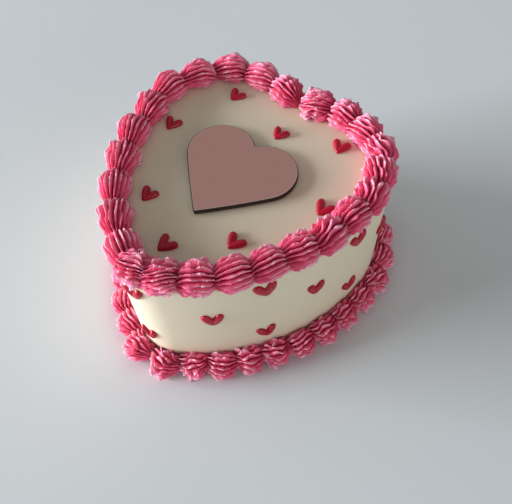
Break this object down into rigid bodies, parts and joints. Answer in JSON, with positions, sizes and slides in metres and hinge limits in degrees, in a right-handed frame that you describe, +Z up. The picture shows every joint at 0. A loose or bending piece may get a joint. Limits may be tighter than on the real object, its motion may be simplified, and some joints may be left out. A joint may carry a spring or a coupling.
{
  "type": "heart shaped cake",
  "caption": "Tall heart shaped iced cake with piped shell borders round its top edge and foot, small piped hearts and a blank heart plaque lying on top.",
  "frame": {"origin": "middle of the whole cake's underside, on the surface that it stands on", "axes": "+Z up; -Y towards the heart's tip and +Y towards its cleft; +X to the right when looking from tip to cleft"},
  "size_m": [0.1908, 0.1954, 0.1039],
  "materials": {
    "cream_icing": "smooth ivory buttercream with a soft satin sheen",
    "pink_icing": "deep pink buttercream in sharp star piped ridges, paler on the crests",
    "red_icing": "crimson icing, slightly glossy",
    "rose_gold": "rose gold mirrored acrylic sheet with a darker cut edge"
  },
  "bodies": {
    "root": {"cake_body": "cream_icing", "top_border": "pink_icing", "bottom_border": "pink_icing", "plaque": "rose_gold", "top_heart_01": "red_icing", "top_heart_02": "red_icing", "top_heart_03": "red_icing", "top_heart_04": "red_icing", "top_heart_05": "red_icing", "top_heart_06": "red_icing", "top_heart_07": "red_icing", "top_heart_08": "red_icing", "wall_heart_01": "red_icing", "wall_heart_02": "red_icing", "wall_heart_03": "red_icing", "wall_heart_04": "red_icing", "wall_heart_05": "red_icing", "wall_heart_06": "red_icing", "wall_heart_07": "red_icing", "wall_heart_08": "red_icing", "wall_heart_09": "red_icing", "wall_heart_10": "red_icing", "wall_heart_11": "red_icing", "wall_heart_12": "red_icing", "wall_heart_13": "red_icing", "wall_heart_14": "red_icing", "wall_heart_15": "red_icing", "wall_heart_16": "red_icing", "wall_heart_17": "red_icing", "wall_heart_18": "red_icing", "wall_heart_19": "red_icing", "wall_heart_20": "red_icing", "wall_heart_21": "red_icing", "wall_heart_22": "red_icing", "wall_heart_23": "red_icing", "wall_heart_24": "red_icing"}
  },
  "joints": []
}
